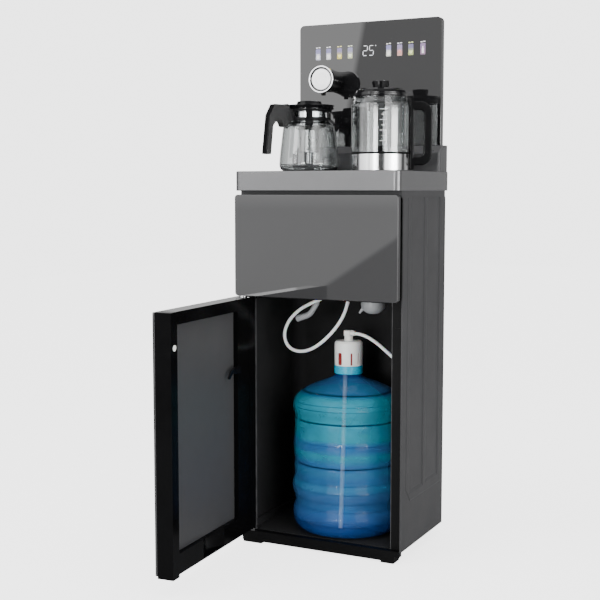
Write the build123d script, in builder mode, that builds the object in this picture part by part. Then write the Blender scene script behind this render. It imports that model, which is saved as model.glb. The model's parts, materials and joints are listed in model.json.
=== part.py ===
from build123d import *
import math
import os

# ---------------------------------------------------------------------------
# Tea bar water dispenser: floor cabinet with a bottle compartment behind a
# hinged door, a tray top with a teapot and a kettle, and an upright control
# panel with a spout.  Millimetres, +Z up.  All dimensions below are taken
# from the front centre of the cabinet; XC and YF place that point so that the
# middle of the whole object's footprint (door open) is the origin.
# ---------------------------------------------------------------------------
XC, YF = 0.74, 23.06

# cabinet
WALL_X = 205.5        # half width over the side panels
SIDE_Y0, SIDE_Y1 = 28.5, 308.0
BASE_Z0, BASE_Z1 = 5.0, 27.5
SIDE_Z1 = 831.0
COLLAR_Z1 = 846.0
JAMB_Y = 44.5         # front face of the jamb round the compartment
OPEN_X = 174.5        # half width of the compartment opening
OPEN_Z = 594.0        # top of the opening
LINER_X = 195.0       # half width inside the liner
CEIL_Z = 640.0        # underside of the shelf above the compartment
PANEL_Z0, PANEL_Z1 = 600.5, 837.1
# tray
TRAY_X, TRAY_Y0, TRAY_Y1, TRAY_Z1 = 206.5, 1.4, 329.7, 891.3
DECK_Z = 889.3
# control panel
CTRL_X, CTRL_Y0, CTRL_Y1, CTRL_Z0, CTRL_Z1, CTRL_R = 189.5, 312.0, 331.6, 954.9, 1261.3, 12.0
SPOUT_X, SPOUT_Z = -91.0, 1117.3
# door
PIN_X, PIN_Y, PIN_R = -191.5, 16.0, 3.5
DOOR_ANGLE = 86.8     # how far the door stands open
DOOR_Z0, DOOR_Z1 = 40.0, 598.0
DOOR_S0, DOOR_S1, STILE_S = -10.0, 393.5, 367.0
POCKET_S0, POCKET_S1, POCKET_Z0, POCKET_Z1 = 81.5, 365.0, 85.0, 571.0
POCKET_T = 12.0       # level of the recess floor, the rim being at 25
# pots
TEA_X, TEA_Y, TEA_ANGLE = -98.0, 178.0, 240.0
KET_X, KET_Y, KET_ANGLE = 87.5, 180.0, 24.0
# bottle
BOT_X, BOT_Y = 13.5, 168.0
HOSE_D = 8.0

cosd = lambda a: math.cos(math.radians(a))
sind = lambda a: math.sin(math.radians(a))


# ---- working planes -------------------------------------------------------
def BASE(z):
    """horizontal plane at height z"""
    return Plane(origin=(XC, YF, z), x_dir=(1, 0, 0), z_dir=(0, 0, 1))


def FRONT(y):
    """upright plane across the cabinet; local axes are x and z, extrusions go forward"""
    return Plane(origin=(XC, YF + y, 0), x_dir=(1, 0, 0), z_dir=(0, -1, 0))


def SIDE(x):
    """upright plane along the cabinet; local axes are y and z, extrusions go to +x"""
    return Plane(origin=(XC + x, YF, 0), x_dir=(0, 1, 0), z_dir=(1, 0, 0))


def DOORZ(z):
    """horizontal plane in the open door's own axes, s along the door and t through it"""
    return Plane(origin=(XC + PIN_X, YF + PIN_Y, z),
                 x_dir=(cosd(DOOR_ANGLE), -sind(DOOR_ANGLE), 0), z_dir=(0, 0, 1))


def DOORT(t):
    """plane in the door parallel to its faces; local axes are s and z, extrusions go outward"""
    n = (sind(DOOR_ANGLE), cosd(DOOR_ANGLE), 0)
    return Plane(origin=(XC + PIN_X + t * n[0], YF + PIN_Y + t * n[1], 0),
                 x_dir=(cosd(DOOR_ANGLE), -sind(DOOR_ANGLE), 0), z_dir=(-n[0], -n[1], 0))


def POTZ(px, py, ang, z):
    """horizontal plane at a pot, local x towards its handle"""
    return Plane(origin=(XC + px, YF + py, z), x_dir=(cosd(ang), sind(ang), 0), z_dir=(0, 0, 1))


def POTR(px, py, ang):
    """upright plane through a pot's axis and its handle; local axes are radius and z"""
    return Plane(origin=(XC + px, YF + py, 0), x_dir=(cosd(ang), sind(ang), 0),
                 z_dir=(sind(ang), -cosd(ang), 0))


def ZAX(px, py):
    return Axis((XC + px, YF + py, 0), (0, 0, 1))


def P(x, y, z):
    return Vector(XC + x, YF + y, z)


def rect(x0, x1, y0, y1, r=0, mode=Mode.ADD):
    with Locations(((x0 + x1) / 2, (y0 + y1) / 2)):
        if r:
            RectangleRounded(x1 - x0, y1 - y0, r, mode=mode)
        else:
            Rectangle(x1 - x0, y1 - y0, mode=mode)


def soften(edges, r):
    """round the edges, with a smaller radius where the full one does not fit"""
    edges = list(edges)
    for k in (1, 0.8, 0.6, 0.4, 0.2):
        try:
            fillet(edges, r * k)
            return
        except Exception:
            pass
    print("edges left sharp:", len(edges), "radius", r)


def poly(*pts, mode=Mode.ADD):
    Polygon(*pts, align=None, mode=mode)


# ===========================================================================
# Cabinet
# ===========================================================================
with BuildPart() as base_plinth:
    # front block over the front feet, wider at the hinge side, and the sill in front of the jamb
    with BuildSketch(BASE(BASE_Z0)):
        rect(-204, 190, 28, 67, 2)
    extrude(amount=BASE_Z1 - BASE_Z0)
    with BuildSketch(BASE(17)):
        rect(-202.7, 202.7, 28, 44.3, 2)
    extrude(amount=BASE_Z1 + 2 - 17)
    # plate that carries the liner, and the rear cross bar
    with BuildSketch(BASE(BASE_Z1 - 6)):
        rect(-165, 165, 60, 303)
    extrude(amount=6)
    with BuildSketch(BASE(BASE_Z0)):
        rect(-165, 165, 262, 303)
    extrude(amount=BASE_Z1 - BASE_Z0)

with BuildPart() as feet:
    with BuildSketch(BASE(0)):
        rect(-203, -152, 29, 66, 3)
        rect(156, 189, 29, 66, 3)
        rect(-163, -131, 266, 300, 3)
        rect(131, 163, 266, 300, 3)
    extrude(amount=BASE_Z0)
    chamfer(feet.faces().group_by(Axis.Z)[0].edges(), 0.8)


def side_panel(sign):
    """pressed side wall: a raised outline with a cut lower front corner, and two channels sunk into it"""
    out = lambda d: SIDE(sign * (WALL_X - d))
    inward = -sign
    outline = ((57, 845), (57, 165), (84, 135), (290, 135), (290, 845))
    with BuildPart() as p:
        with BuildSketch(out(2.5)):
            rect(SIDE_Y0, SIDE_Y1, BASE_Z1, SIDE_Z1, 1.5)
        extrude(amount=sign * 2.5)
        # the raised area and its sloping rim
        with BuildSketch(out(0)):
            poly(*outline)
        extrude(amount=sign * 0.9, taper=75)
        with BuildSketch(BASE(SIDE_Z1)):
            rect(sign * WALL_X - 4, sign * WALL_X + 4, 40, 306)
        extrude(amount=20, mode=Mode.SUBTRACT)
        # the channels, with gently sloping walls
        with BuildSketch(out(-0.9)):
            rect(76, 168, 153, 850)
        extrude(amount=inward * 2.2, taper=73, mode=Mode.SUBTRACT)
        with BuildSketch(out(-0.9)):
            rect(181, 270, 156, 850)
        extrude(amount=inward * 2.2, taper=73, mode=Mode.SUBTRACT)
        # rear flange that takes the back panel's screws
        with BuildSketch(BASE(BASE_Z1 + 2)):
            with Locations((sign * 195.5, 303.9)):
                Rectangle(15.2, 2.0)
        extrude(amount=SIDE_Z1 - BASE_Z1 - 4)
        with BuildSketch(FRONT(306)):
            with Locations(*[(sign * 195.5, z) for z in (60, 240, 420, 600, 780)]):
                Circle(1.9)
        extrude(amount=6, mode=Mode.SUBTRACT)
    return p


left_side_panel = side_panel(-1)
right_side_panel = side_panel(1)

with BuildPart() as back_panel:
    with BuildSketch(FRONT(307.5)):
        rect(-202.8, 202.8, BASE_Z1 + 0.3, SIDE_Z1 - 0.3, 2)
    extrude(amount=-2.5 * -1)
    # louvre slots of the machine space, and a smaller group below
    with BuildSketch(FRONT(308)):
        with Locations((-70, 735), (70, 735)):
            with GridLocations(0, 13, 1, 9):
                SlotOverall(92, 5)
        with Locations((0, 90)):
            with GridLocations(70, 12, 4, 3):
                SlotOverall(48, 5)
    extrude(amount=6, mode=Mode.SUBTRACT)
    # port, cord gland and switch openings, screw holes
    with BuildSketch(FRONT(308)):
        with Locations((-150, 668)):
            Circle(9.2)
        with Locations((150, 668)):
            Circle(8.2)
        with Locations((150, 745)):
            Rectangle(20.4, 29.4)
        with Locations(*[(sx * 195.5, z) for sx in (-1, 1) for z in (60, 240, 420, 600, 780)]):
            Circle(2.1)
    extrude(amount=6, mode=Mode.SUBTRACT)

with BuildPart() as front_frame:
    with BuildSketch(FRONT(JAMB_Y)):
        rect(-202.7, 202.7, BASE_Z1 + 2.0, 660, 1)
        rect(-OPEN_X, OPEN_X, BASE_Z1, OPEN_Z, 0, Mode.SUBTRACT)
    extrude(amount=-5)
    soften(front_frame.edges().filter_by(Axis.Y).filter_by_position(Axis.Z, OPEN_Z - 1, OPEN_Z + 1), 8)

with BuildPart() as compartment_liner:
    with BuildSketch(BASE(BASE_Z1)):
        rect(-LINER_X - 2.5, LINER_X + 2.5, 49.5, 304.9, 32)
        rect(-LINER_X - 2.5, LINER_X + 2.5, 49.5, 120)
    extrude(amount=CEIL_Z - BASE_Z1)
    with BuildSketch(BASE(46)):
        rect(-LINER_X, LINER_X, 20, 303, 30)
        rect(-LINER_X, LINER_X, 20, 120)
    extrude(amount=CEIL_Z, mode=Mode.SUBTRACT)
    with BuildSketch(BASE(BASE_Z1 + 2)):
        rect(-186, 186, 20, 297, 24)
        rect(-186, 186, 20, 120)
    extrude(amount=CEIL_Z, mode=Mode.SUBTRACT)

with BuildPart() as compartment_ceiling:
    with BuildSketch(BASE(CEIL_Z)):
        rect(-199.2, 199.2, 49.7, 301.5, 2)
    extrude(amount=3)
    with BuildSketch(BASE(CEIL_Z + 3)):
        for cy in (90, 268):
            rect(-195, 195, cy - 1.2, cy + 1.2)
    extrude(amount=6)
    with BuildSketch(BASE(CEIL_Z - 1)):
        with Locations((-8, 122), (31, 130), (168, 200)):
            Circle(4.2)
        with Locations((-52, 138)):
            Circle(6.2)
    extrude(amount=12, mode=Mode.SUBTRACT)

with BuildPart() as front_panel_housing:
    with BuildSketch(FRONT(4.0)):
        rect(-205, 205, PANEL_Z0, PANEL_Z1, 8)
    extrude(amount=-10)
    with BuildSketch(FRONT(14.0)):
        rect(-196, 196, PANEL_Z0 + 6, 828, 5)
    extrude(amount=-30.4)
    with BuildSketch(FRONT(8.0)):
        rect(-193, 193, PANEL_Z0 + 9, 825, 4)
    extrude(amount=-40, mode=Mode.SUBTRACT)

with BuildPart() as front_glass_panel:
    with BuildSketch(FRONT(0)):
        rect(-205, 205, PANEL_Z0, PANEL_Z1, 8)
    extrude(amount=-4)
    soften(front_glass_panel.faces().sort_by(Axis.Y)[0].outer_wire().edges(), 1.2)

with BuildPart() as top_collar:
    with BuildSketch(BASE(SIDE_Z1)):
        rect(-WALL_X, WALL_X, SIDE_Y0, SIDE_Y1, 5)
        rect(-201.2, 201.2, SIDE_Y0 + 4.3, SIDE_Y1 - 4.3, 3, Mode.SUBTRACT)
    extrude(amount=COLLAR_Z1 - SIDE_Z1)

with BuildPart() as tray_frame:
    with BuildSketch(BASE(COLLAR_Z1)):
        rect(-TRAY_X, TRAY_X, TRAY_Y0, TRAY_Y1, 14)
    extrude(amount=TRAY_Z1 - COLLAR_Z1)
    soften(tray_frame.faces().sort_by(Axis.Z)[-1].outer_wire().edges(), 2.2)
    soften(tray_frame.faces().sort_by(Axis.Z)[0].outer_wire().edges(), 1.6)
    with BuildSketch(BASE(849)):
        rect(-203.5, 203.5, 4.4, 326.7, 11)
    extrude(amount=882.3 - 849, mode=Mode.SUBTRACT)
    with BuildSketch(BASE(882.0)):
        rect(-188, 188, 20, 312, 4)
    extrude(amount=12, mode=Mode.SUBTRACT)
    with BuildSketch(BASE(885.3)):
        rect(-196.5, 196.5, 11.4, 319.7, 4)
    extrude(amount=12, mode=Mode.SUBTRACT)
    with BuildSketch(BASE(COLLAR_Z1 - 1)):
        rect(-150, 150, 80, 290, 6)
    extrude(amount=8, mode=Mode.SUBTRACT)

with BuildPart() as tray_deck:
    with BuildSketch(BASE(885.3)):
        rect(-196.3, 196.3, 11.6, 319.5, 3.8)
    extrude(amount=DECK_Z - 885.3)
    with BuildSketch(BASE(880)):
        with Locations((-91, 300), (60, 300)):
            Circle(6)
        with Locations((TEA_X, TEA_Y), (KET_X, KET_Y)):
            Circle(12)
    extrude(amount=20, mode=Mode.SUBTRACT)

with BuildPart() as warming_plate:
    with BuildSketch(POTR(TEA_X, TEA_Y, 0)):
        poly((0, DECK_Z), (62, DECK_Z), (62, DECK_Z + 1.2), (61.2, DECK_Z + 2), (52, DECK_Z + 2),
             (51, DECK_Z + 1.5), (49, DECK_Z + 1.5), (48, DECK_Z + 2), (34, DECK_Z + 2),
             (33, DECK_Z + 1.5), (31, DECK_Z + 1.5), (30, DECK_Z + 2), (0, DECK_Z + 2))
    revolve(axis=ZAX(TEA_X, TEA_Y))
    # heater stud under the deck
    with BuildSketch(BASE(DECK_Z - 9)):
        with Locations((TEA_X, TEA_Y)):
            Circle(11.7)
    extrude(amount=9.2)

with BuildPart() as kettle_base:
    with BuildSketch(POTR(KET_X, KET_Y, 0)):
        poly((0, DECK_Z - 9), (11.7, DECK_Z - 9), (11.7, DECK_Z), (67, DECK_Z), (67, DECK_Z + 1.6),
             (65.8, DECK_Z + 2.6), (15, DECK_Z + 2.6), (13.5, DECK_Z + 4), (13.5, DECK_Z + 9),
             (12, DECK_Z + 10.5), (5, DECK_Z + 10.5), (4, DECK_Z + 8.5), (0, DECK_Z + 8.5))
    revolve(axis=ZAX(KET_X, KET_Y))

with BuildPart() as console_cover:
    with BuildSketch(SIDE(-200)):
        poly((278, TRAY_Z1), (278, 937.7), (311.3, CTRL_Z0), (331, CTRL_Z0), (331, TRAY_Z1))
    extrude(amount=400)
    soften(console_cover.edges().filter_by(Axis.Z).group_by(Axis.Y)[0], 7)
    soften(console_cover.edges().filter_by(Axis.X).filter_by_position(Axis.Y, YF + 277, YF + 279)
           .group_by(Axis.Z)[-1], 5)
    with BuildSketch(SIDE(-197)):
        poly((281, TRAY_Z1 - 1), (281, 935.2), (312, 951.9), (328, 951.9), (328, TRAY_Z1 - 1))
    extrude(amount=394, mode=Mode.SUBTRACT)
    with BuildSketch(BASE(DECK_Z)):
        rect(-195.5, 195.5, 278.6, 281.2)
    extrude(amount=6)
    with BuildSketch(BASE(948)):
        rect(-120, 120, 318.4, 327.6, 2)
    extrude(amount=10, mode=Mode.SUBTRACT)

with BuildPart() as control_housing:
    # the rim of the upright panel, open to front and back
    with BuildSketch(FRONT(315.8)):
        rect(-CTRL_X, CTRL_X, CTRL_Z0, CTRL_Z1, CTRL_R)
        rect(-CTRL_X, CTRL_X, CTRL_Z0, 1100)
        rect(-CTRL_X + 3, CTRL_X - 3, CTRL_Z0 + 3, CTRL_Z1 - 3, 8, Mode.SUBTRACT)
    extrude(amount=-12.8)
    with BuildSketch(BASE(CTRL_Z0 - 1)):
        rect(-120, 120, 318.4, 327.6, 2)
    extrude(amount=6, mode=Mode.SUBTRACT)

with BuildPart() as control_back_cover:
    with BuildSketch(FRONT(328.6)):
        rect(-CTRL_X, CTRL_X, CTRL_Z0, CTRL_Z1, CTRL_R)
        rect(-CTRL_X, CTRL_X, CTRL_Z0, 1100)
    extrude(amount=-(CTRL_Y1 - 328.6))
    soften(control_back_cover.faces().sort_by(Axis.Y)[-1].outer_wire().edges().filter_by_position(
        Axis.Z, CTRL_Z0 + 1, CTRL_Z1 + 1), 2.0)
    # posts for the display's carrier
    with BuildSketch(FRONT(319.6)):
        with Locations(*[(x, z) for x in (-140, 140) for z in (1174, 1206)]):
            Circle(4)
    extrude(amount=-9.4)

with BuildPart() as control_glass:
    with BuildSketch(FRONT(CTRL_Y0)):
        rect(-CTRL_X, CTRL_X, CTRL_Z0 + 0.3, CTRL_Z1, CTRL_R)
        rect(-CTRL_X, CTRL_X, CTRL_Z0 + 0.3, 1100)
        with Locations((SPOUT_X, SPOUT_Z)):
            Circle(12.3, mode=Mode.SUBTRACT)
    extrude(amount=-3.8)
    soften(control_glass.faces().sort_by(Axis.Y)[0].outer_wire().edges(), 1.0)

with BuildPart() as display_board:
    with BuildSketch(FRONT(318)):
        rect(-150, 150, 1168, 1212, 2)
    extrude(amount=-1.6)
    with BuildSketch(FRONT(318)):
        rect(-19, 19, 1177, 1203)
        with Locations(*[(x, 1189) for x in (-138, -109, -79, -50, 53, 82, 111, 142)]):
            Rectangle(12, 26)
    extrude(amount=1.6)

# ---- spout ----------------------------------------------------------------
SPO = Plane(origin=(XC + SPOUT_X, YF, SPOUT_Z), x_dir=(0, 1, 0), z_dir=(1, 0, 0))
SPO_AX = Axis((XC + SPOUT_X, YF, SPOUT_Z), (0, 1, 0))

with BuildPart() as spout_barrel:
    with BuildSketch(SPO):
        with BuildLine():
            Polyline((233, 0), (233, 31.6), (239, 32.2))
            Spline((239, 32.2), (262, 29.4), (290, 26.9), (312, 26.0))
            Polyline((312, 26.0), (312, 12), (327, 12), (327, 0), (233, 0))
        make_face()
    revolve(axis=SPO_AX)
    # water way: along the barrel, down to the nozzle, and down to the feed tube
    with BuildSketch(FRONT(240)):
        with Locations((SPOUT_X, SPOUT_Z)):
            Circle(4)
    extrude(amount=-84, mode=Mode.SUBTRACT)
    with BuildSketch(BASE(SPOUT_Z)):
        with Locations((SPOUT_X, 244)):
            Circle(5.6)
    extrude(amount=-40, mode=Mode.SUBTRACT)
    with BuildSketch(BASE(1099)):
        with Locations((SPOUT_X, 322.6)):
            Circle(5.6)
    extrude(amount=12)
    with BuildSketch(BASE(1098)):
        with Locations((SPOUT_X, 322.6)):
            Circle(3)
    extrude(amount=18, mode=Mode.SUBTRACT)

with BuildPart() as spout_ring:
    with BuildSketch(SPO):
        rect(228.0, 236.5, 32.3, 33.0)
        rect(228.0, 232.8, 29.4, 32.6)
    revolve(axis=SPO_AX)
    soften(spout_ring.faces().sort_by(Axis.Y)[0].edges(), 0.9)

with BuildPart() as spout_disc:
    with BuildSketch(SPO):
        poly((229.3, 0), (229.3, 13.6), (229.0, 14.2), (229.6, 24.6), (230.6, 25.6), (233, 25.6), (233, 0))
    revolve(axis=SPO_AX)

with BuildPart() as spout_nozzle:
    with BuildSketch(BASE(1079.2)):
        with Locations((SPOUT_X, 244)):
            Circle(5.5)
            Circle(3.6, mode=Mode.SUBTRACT)
    extrude(amount=30)
    soften(spout_nozzle.faces().sort_by(Axis.Z)[0].outer_wire().edges(), 0.8)

# ===========================================================================
# Hoses and tubes: straight runs joined by tangent arcs
# ===========================================================================
def route(points, tighten=None):
    """the route's tangent arcs: 0.45 of the shorter run over the tangent of half the turn"""
    v = [P(*p) for p in points]
    radii = []
    for a, b, c in zip(v, v[1:], v[2:]):
        turn = (b - a).get_angle(c - b)
        r = 0.45 * min((b - a).length, (c - b).length) / math.tan(math.radians(turn / 2))
        radii.append(round(r, 2))
    return v, radii


def tube(name, points, d, bore=0.0):
    v, radii = route(points)
    with BuildPart() as t:
        with BuildLine() as path:
            FilletPolyline(*v, radius=radii)
        run = path.wires()[0]
        with BuildSketch(Plane(origin=run @ 0, z_dir=run % 0)) as sec:
            Circle(d / 2)
            if bore:
                Circle(bore / 2, mode=Mode.SUBTRACT)
        sweep()
    area = sec.sketch.area
    print(f"{name}: length {run.length:.1f}, smallest radius {min(radii):.1f} ({min(radii) / d:.1f} diameters), "
          f"volume / (section x length) {t.part.volume / (area * run.length):.4f}")
    print("   radii", radii)
    return t


LOOP_POINTS = [(-8, 122, 634), (-8, 122, 612.5), (-26, 120, 593), (-60, 118.5, 580), (-96, 118, 561),
               (-125, 118, 532), (-138, 118.5, 498), (-127, 119.5, 468), (-98, 121, 457), (-62, 123, 466),
               (-28, 125.5, 492), (2, 128, 525), (22, 129.5, 560), (31, 130, 600), (31, 130, 634)]
hose_loop = tube("hose_loop", LOOP_POINTS, HOSE_D, 5.0)

BOTTLE_HOSE_POINTS = [(30.26, 166.5, 504.98), (50, 166.5, 503.8), (78, 167.2, 491), (104, 168.8, 472),
                      (128, 171.5, 451), (154, 177, 434), (180, 186, 446), (185.5, 192, 482),
                      (183, 196.5, 528), (168, 200, 590), (168, 200, 634)]
bottle_hose = tube("bottle_hose", BOTTLE_HOSE_POINTS, HOSE_D, 5.0)

# ceiling fittings that the hoses end against, face to face
with BuildPart() as ceiling_fittings:
    with BuildSketch(BASE(634)):
        for cx, cy in ((-8, 122), (31, 130), (168, 200)):
            with Locations((cx, cy)):
                Circle(8)
                Circle(2.5, mode=Mode.SUBTRACT)
    extrude(amount=6)
    with BuildSketch(BASE(640)):
        for cx, cy in ((-8, 122), (31, 130), (168, 200)):
            with Locations((cx, cy)):
                Circle(4.0)
                Circle(2.5, mode=Mode.SUBTRACT)
    extrude(amount=14)

# bent drain spout and the cup of the drip drain, both under the ceiling
DRAIN_POINTS = [(-52, 138, 646), (-52.5, 138, 610), (-57, 137.5, 576), (-76, 136.5, 548), (-109, 135.5, 537)]
with BuildPart() as drain_spout:
    with BuildLine() as drain_path:
        FilletPolyline(*[P(*p) for p in DRAIN_POINTS], radius=[40, 28, 26])
    drain_run = drain_path.wires()[0]
    with BuildSketch(Plane(origin=drain_run @ 0, z_dir=drain_run % 0)) as s0:
        Circle(6)
    with BuildSketch(Plane(origin=drain_run @ 0.45, z_dir=drain_run % 0.45)) as s1:
        Circle(6.2)
    with BuildSketch(Plane(origin=drain_run @ 1, z_dir=drain_run % 1)) as s2:
        Circle(8.2)
    sweep(sections=[s0.sketch, s1.sketch, s2.sketch], path=drain_run, multisection=True)

CUP_X, CUP_Y = 96.0, 122.0
with BuildPart() as drain_cup:
    with BuildSketch(POTR(CUP_X, CUP_Y, 0)):
        with BuildLine():
            Polyline((0, 640), (34, 640), (34, 634), (28.5, 634), (28.5, 586))
            Spline((28.5, 586), (24, 569), (12, 561), (0, 559.5), tangents=((0, -1), (-1, 0)))
            Line((0, 559.5), (0, 640))
        make_face()
    revolve(axis=ZAX(CUP_X, CUP_Y))
    with BuildSketch(Plane(origin=P(82, 114, 583), z_dir=(-15, -6, -22))):
        Circle(6)
    extrude(amount=27, taper=8)

# ===========================================================================
# Bottle, cap and dip tube
# ===========================================================================
BOT_PROFILE = [(104, 29.8), (113, 32), (121, 37), (128, 46), (132, 58), (133.5, 70), (132, 83),
               (128.4, 93), (127.6, 104), (129.5, 116), (132.4, 126), (133, 137), (131, 149), (128.4, 159),
               (127.8, 170), (128.8, 184), (129.2, 196), (127.6, 205), (126.6, 213), (127.6, 222), (130, 235),
               (131.2, 248), (130.4, 262), (129, 277), (128.2, 290), (128, 303), (128.5, 316), (128.4, 328),
               (126.6, 340), (122.6, 350), (117.6, 359), (109, 368), (93, 377), (70, 386.4), (51, 393.4), (39.6, 399.2),
               (33.2, 404), (31, 408.4)]
WALL = 2.0


def inset(points, d):
    """the same profile moved inward by d along its normals"""
    out = [(points[0][0] - 0.4 * d, points[0][1] + d)]
    for a, p, c in zip(points, points[1:], points[2:]):
        tx, tz = c[0] - a[0], c[1] - a[1]
        n = math.hypot(tx, tz)
        out.append((p[0] - d * tz / n, p[1] + d * tx / n))
    return out + [(points[-1][0] - d, points[-1][1])]


with BuildPart() as bottle:
    with BuildSketch(POTR(BOT_X, BOT_Y, 0)):
        with BuildLine():
            inner = inset(BOT_PROFILE, WALL)
            Line((0, BOT_PROFILE[0][1]), BOT_PROFILE[0])
            Spline(*BOT_PROFILE)
            Polyline(BOT_PROFILE[-1], (31, 440), (29, 440), inner[-1])
            Spline(*reversed(inner))
            Polyline(inner[0], (0, inner[0][1]), (0, BOT_PROFILE[0][1]))
        make_face()
    revolve(axis=ZAX(BOT_X, BOT_Y))

CAP_R = 34.3
with BuildPart() as bottle_cap:
    with BuildSketch(POTR(BOT_X, BOT_Y, 0)):
        poly((31.4, 428), (CAP_R - 0.7, 428), (CAP_R, 470), (CAP_R - 0.6, 482), (CAP_R - 4.5, 486.8), (10.5, 487.6),
             (10.3, 498), (0, 498), (0, 484), (30, 483.4), (31.4, 481))
    revolve(axis=ZAX(BOT_X, BOT_Y))
    # finger slots round the skirt
    for ang, w in ((-105.3, 12), (-54.5, 4.6), (-22, 3.4), (30, 12), (80, 4.6), (135, 12), (185, 4.6)):
        with BuildSketch(Plane(origin=P(BOT_X, BOT_Y, 0), x_dir=(-sind(ang), cosd(ang), 0),
                               z_dir=(cosd(ang), sind(ang), 0))):
            with Locations((0, 445)):
                RectangleRounded(w, 30, min(w / 2 - 0.2, 4))
        extrude(amount=40, mode=Mode.SUBTRACT)
    with BuildSketch(BASE(480)):
        with Locations((BOT_X, BOT_Y)):
            Circle(3)
    extrude(amount=30, mode=Mode.SUBTRACT)

with BuildPart() as cap_ring:
    with BuildSketch(POTR(BOT_X, BOT_Y, 0)):
        poly((31.8, 408.8), (34.0, 408.4), (34.4, 411), (34.0, 427.8), (31.6, 427.8))
    revolve(axis=ZAX(BOT_X, BOT_Y))

with BuildPart() as hose_elbow:
    # upright stem, square body with its nut, and the collet facing the hose
    with BuildSketch(BASE(498)):
        with Locations((12.0, 167)):
            RectangleRounded(17, 17, 3)
    extrude(amount=13.5)
    with BuildSketch(Plane(origin=P(20, 166.5, 505.6), z_dir=(1, 0, -0.06))):
        RegularPolygon(7.1, 6)
    extrude(amount=6)
    with BuildSketch(Plane(origin=P(20, 166.5, 505.6), z_dir=(1, 0, -0.06))):
        Circle(6.0)
    extrude(amount=10.2)
    soften(hose_elbow.edges().filter_by(Axis.Z), 0.8)

TUBE_TOP, TUBE_LOW = P(8.0, 165.5, 470), P(22.5, 105, 42)
with BuildPart() as dip_tube:
    with BuildSketch(Plane(origin=TUBE_LOW, z_dir=TUBE_TOP - TUBE_LOW)):
        Circle(5.3)
        Circle(4.0, mode=Mode.SUBTRACT)
    extrude(amount=(TUBE_TOP - TUBE_LOW).length)

# ===========================================================================
# Hinges, catch and rear fittings
# ===========================================================================
with BuildPart() as upper_hinge_bracket:
    with BuildSketch(BASE(598.3)):
        rect(-201.5, -178, 20, 44.5)
        rect(-201, -182, 16, 30)
        with Locations((PIN_X, PIN_Y)):
            Circle(9.5)
    extrude(amount=2)
    with BuildSketch(BASE(598.3)):
        rect(-201.5, -178, 42.7, 44.5)
    extrude(amount=7.9)
    with BuildSketch(BASE(584)):
        with Locations((PIN_X, PIN_Y)):
            Circle(PIN_R)
    extrude(amount=16)

with BuildPart() as lower_hinge_bracket:
    with BuildSketch(BASE(36.7)):
        rect(-201.5, -178, 20, 44.5)
        rect(-201, -182, 16, 30)
        with Locations((PIN_X, PIN_Y)):
            Circle(9.5)
    extrude(amount=3)
    with BuildSketch(BASE(29.8)):
        rect(-201.5, -178, 42.7, 44.5)
    extrude(amount=9.9)
    with BuildSketch(BASE(38)):
        with Locations((PIN_X, PIN_Y)):
            Circle(PIN_R)
    extrude(amount=16)

PLUG_S, PLUG_Z = 379.0, 524.0
with BuildPart() as catch_plate:
    with BuildSketch(FRONT(JAMB_Y)):
        with Locations((PIN_X + PLUG_S, PLUG_Z)):
            RectangleRounded(18, 30, 3)
    extrude(amount=0.5)

with BuildPart() as rear_drain_cap:
    with BuildSketch(FRONT(307.5)):
        with Locations((-150, 668)):
            Circle(13)
    extrude(amount=-13)
    with BuildSketch(FRONT(307.5)):
        with Locations((-150, 668)):
            with PolarLocations(13.2, 18):
                Circle(1.0)
    extrude(amount=-11, mode=Mode.SUBTRACT)
    chamfer(rear_drain_cap.faces().sort_by(Axis.Y)[-1].outer_wire().edges(), 1.2)
    with BuildSketch(FRONT(307.5)):
        with Locations((-150, 668)):
            Circle(9)
    extrude(amount=16)

with BuildPart() as cord_gland:
    with BuildSketch(FRONT(307.5)):
        with Locations((150, 668)):
            RegularPolygon(12, 6)
    extrude(amount=-5)
    with BuildSketch(FRONT(312.5)):
        with Locations((150, 668)):
            Circle(8)
    extrude(amount=-6, taper=12)
    with BuildSketch(FRONT(307.5)):
        with Locations((150, 668)):
            Circle(8)
    extrude(amount=14)
    with BuildSketch(FRONT(320)):
        with Locations((150, 668)):
            Circle(3.9)
    extrude(amount=40, mode=Mode.SUBTRACT)

SWX, SWZ = 150.0, 745.0
with BuildPart() as switch_housing:
    with BuildSketch(FRONT(309.5)):
        with Locations((SWX, SWZ)):
            RectangleRounded(25, 34, 2)
    extrude(amount=2.0)
    with BuildSketch(FRONT(307.6)):
        with Locations((SWX, SWZ)):
            Rectangle(20, 29)
    extrude(amount=22)
    with BuildSketch(FRONT(310)):
        with Locations((SWX, SWZ)):
            Rectangle(14.4, 25.0)
    extrude(amount=20, mode=Mode.SUBTRACT)
    with BuildSketch(SIDE(SWX)):
        with Locations((303.5, SWZ)):
            Circle(1.6)
    extrude(amount=9.2, both=True, mode=Mode.SUBTRACT)

with BuildPart() as power_rocker:
    tilt = Plane(origin=P(SWX, 303.5, SWZ), x_dir=(0, cosd(12), sind(12)), z_dir=(1, 0, 0))
    with BuildSketch(tilt):
        poly((-4, -5), (3, -10.8), (6.3, -10.8), (4.4, 0), (6.3, 10.8), (3, 10.8), (-4, 5))
    extrude(amount=6.8, both=True)
    with BuildSketch(tilt):
        Circle(1.5)
    extrude(amount=9.0, both=True)

with BuildPart() as screws:
    for sx in (-1, 1):
        for z in (60, 240, 420, 600, 780):
            with BuildSketch(FRONT(307.5)):
                with Locations((sx * 195.5, z)):
                    Circle(3.6)
            extrude(amount=-1.8)
            with BuildSketch(FRONT(307.5)):
                with Locations((sx * 195.5, z)):
                    Circle(1.8)
            extrude(amount=7)

# ===========================================================================
# Door, standing open
# ===========================================================================
with BuildPart() as door_glass:
    with BuildSketch(DOORT(-11)):
        rect(DOOR_S0, DOOR_S1, DOOR_Z0, DOOR_Z1, 2.5)
    extrude(amount=5)
    soften(door_glass.faces().sort_by(Axis.X)[0].outer_wire().edges(), 1.0)

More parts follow.
